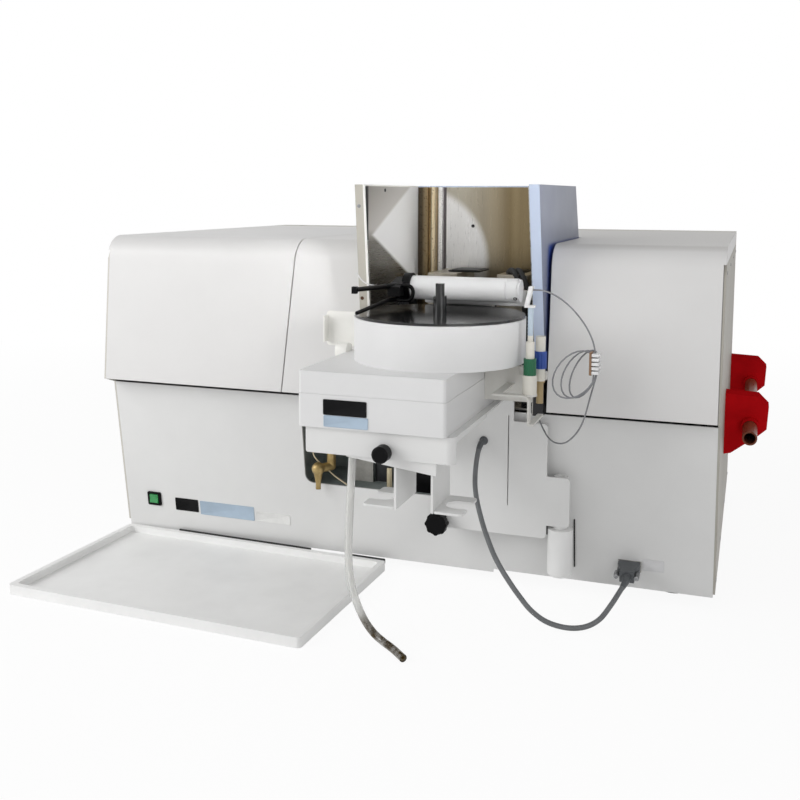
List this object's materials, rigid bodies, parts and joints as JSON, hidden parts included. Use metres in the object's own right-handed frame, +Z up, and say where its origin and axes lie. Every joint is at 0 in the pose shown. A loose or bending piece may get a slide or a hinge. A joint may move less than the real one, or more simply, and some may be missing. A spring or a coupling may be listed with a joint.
{
  "type": "atomic absorption spectrometer",
  "caption": "Wide white bench atomic absorption spectrometer with a stainless furnace well, a swing-out autosampler with tray and pipette arm, side lift handles and a loose drip tray.",
  "frame": {"origin": "middle of the footprint of the whole part, on the bench under the feet", "axes": "+X to the right along the longest extent, +Y to the back, +Z up"},
  "size_m": [1.076, 0.954, 0.584],
  "materials": {
    "white_covers": "satin",
    "warm_panels": "satin",
    "pale_blue_panels": "satin",
    "stainless_sheet": "brushed",
    "dark_chassis": "matt",
    "cast_optics": "as cast",
    "furnace_metal": "anodised",
    "graphite": "matt",
    "brass": "satin",
    "black_rubber": "matt",
    "black_plastic": "satin",
    "tray_plastic": "polished",
    "board": "satin",
    "grey_plastic": "satin",
    "white_bracket": "satin",
    "white_plastic": "satin",
    "white_tray": "satin",
    "red_paint": "gloss",
    "lift_tube": "satin",
    "green_rocker": "gloss",
    "lamp_glass": "clear",
    "valve_cream": "satin",
    "valve_green": "satin",
    "clear_tube": "clear",
    "cable_grey": "satin"
  },
  "bodies": {
    "instrument": {"chassis_base": "dark_chassis", "feet": "black_rubber", "lower_front_panel": "white_covers", "left_side_panel": "warm_panels", "right_side_panel": "warm_panels", "rear_panel": "warm_panels", "left_inner_cover": "white_covers", "right_cover": "white_covers", "tower_left_side": "warm_panels", "tower_right_side": "pale_blue_panels", "tower_back": "pale_blue_panels", "well_left_wall": "stainless_sheet", "well_back_wall": "stainless_sheet", "well_right_wall": "stainless_sheet", "corner_column": "stainless_sheet", "well_floor": "stainless_sheet", "optical_windows": "furnace_metal", "furnace_housing": "furnace_metal", "furnace_electrodes": "graphite", "graphite_tube": "graphite", "access_bay": "dark_chassis", "drain_elbow": "brass", "optical_bench": "cast_optics", "turret_bracket": "cast_optics", "monochromator_box": "cast_optics", "power_supply": "cast_optics", "control_board": "board", "rear_inlet": "black_plastic", "gas_fittings": "brass", "power_bezel": "black_plastic", "serial_socket": "stainless_sheet", "cable_plug": "grey_plastic", "hinge_barrel": "white_bracket", "lift_brackets": "red_paint", "lift_tubes": "lift_tube", "signal_cable": "cable_grey"},
    "lamp_door": {"lamp_door": "white_covers"},
    "lamp_turret": {"lamp_turret": "black_plastic", "lamps": "lamp_glass"},
    "power_rocker": {"power_rocker": "green_rocker"},
    "drip_tray": {"drip_tray": "white_tray"},
    "swing": {"swing_plate": "white_bracket", "support_arm": "white_bracket", "support_shelf": "white_bracket", "bottle_holders": "white_bracket", "sampler_base": "white_plastic", "sampler_cover": "white_plastic", "tray_drum": "white_plastic", "arm_housing": "white_plastic", "side_guard": "white_bracket", "valve_bracket": "white_bracket", "valve_bodies": "valve_cream", "valve_nuts": "valve_green", "tube_clip": "valve_cream", "drain_tube": "clear_tube", "sample_line": "clear_tube"},
    "sample_tray": {"sample_tray": "tray_plastic"},
    "pipette_arm": {"pipette_arm": "black_plastic"},
    "front_knob": {"front_knob": "black_plastic"},
    "star_knob": {"star_knob": "black_plastic"}
  },
  "joints": [
    {"name": "swing_hinge", "type": "hinge", "parent": "instrument", "child": "swing", "pos_m": [0.265, -0.196, 0.14], "axis": [0, 0, 1], "range_deg": [0, 55], "deforming": ["signal_cable"]},
    {"name": "lamp_door_hinge", "type": "hinge", "parent": "instrument", "child": "lamp_door", "pos_m": [-0.317, 0.408, 0.491], "axis": [-1, 0, 0], "range_deg": [0, 55]},
    {"name": "turret_turn", "type": "hinge", "parent": "instrument", "child": "lamp_turret", "pos_m": [-0.401, -0.045, 0.4], "axis": [1, 0, 0], "continuous": true},
    {"name": "power_press", "type": "hinge", "parent": "instrument", "child": "power_rocker", "pos_m": [-0.4195, -0.16875, 0.06461], "axis": [1, 0, 0], "range_deg": [0, 14]},
    {"name": "drip_tray_pull", "type": "slide", "parent": "instrument", "child": "drip_tray", "axis": [0, -1, 0], "range_m": [0, 0.15]},
    {"name": "tray_turn", "type": "hinge", "parent": "swing", "child": "sample_tray", "pos_m": [0.121, -0.312, 0.415], "axis": [0, 0, 1], "continuous": true},
    {"name": "pipette_swing", "type": "hinge", "parent": "swing", "child": "pipette_arm", "pos_m": [0.055, -0.248, 0.442], "axis": [-1, 0, 0], "range_deg": [0, 150]},
    {"name": "front_knob_turn", "type": "hinge", "parent": "swing", "child": "front_knob", "pos_m": [0.098, -0.463, 0.262], "axis": [0, 1, 0], "continuous": true},
    {"name": "star_knob_turn", "type": "hinge", "parent": "swing", "child": "star_knob", "pos_m": [0.09, -0.213, 0.097], "axis": [0, 1, 0], "continuous": true}
  ]
}
